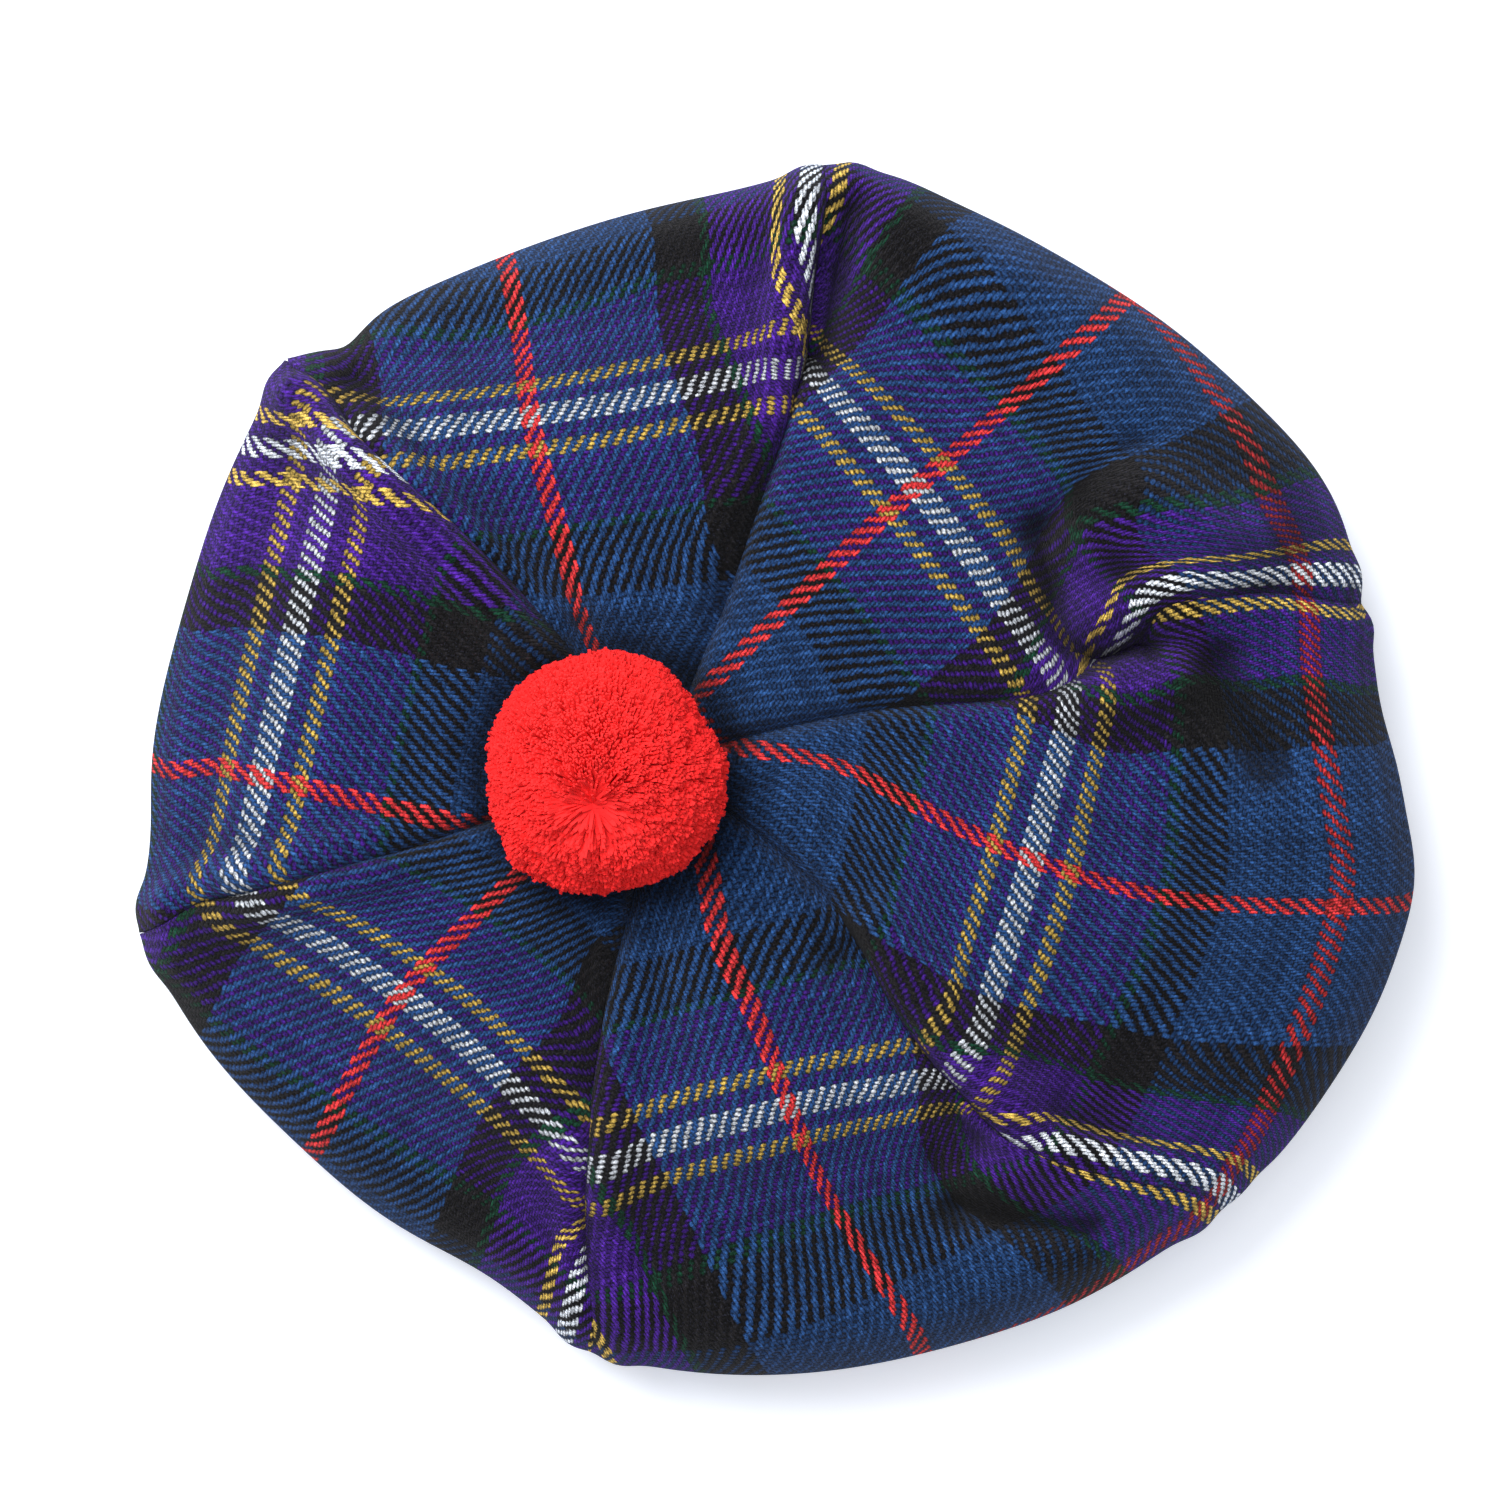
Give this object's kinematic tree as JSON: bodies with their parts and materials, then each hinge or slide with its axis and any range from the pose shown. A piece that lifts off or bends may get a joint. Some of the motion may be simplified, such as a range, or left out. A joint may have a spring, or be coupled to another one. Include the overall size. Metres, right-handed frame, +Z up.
{
  "type": "tam o' shanter",
  "caption": "Soft round tartan wool cap sewn from wedge-shaped gores, with a head band under its wide flat crown and a red pompom in the middle.",
  "frame": {"origin": "middle of the hat's outline in plan, at the foot of the head band, on the surface that the hat lies on", "axes": "+Z up through the crown, +Y to the back of the hat, +X to the side where the crown lies over the band"},
  "size_m": [0.2913, 0.2773, 0.0782],
  "materials": {
    "gore_a": "matte wool twill",
    "gore_b": "matte wool twill",
    "gore_c": "matte wool twill",
    "gore_d": "matte wool twill",
    "gore_e": "matte wool twill",
    "gore_f": "matte wool twill",
    "head_band": "matte wool twill",
    "toorie": "fluffy cut wool"
  },
  "bodies": {
    "root": {"gore_a": "gore_a", "gore_b": "gore_b", "gore_c": "gore_c", "gore_d": "gore_d", "gore_e": "gore_e", "gore_f": "gore_f", "head_band": "head_band", "toorie": "toorie"}
  },
  "joints": []
}
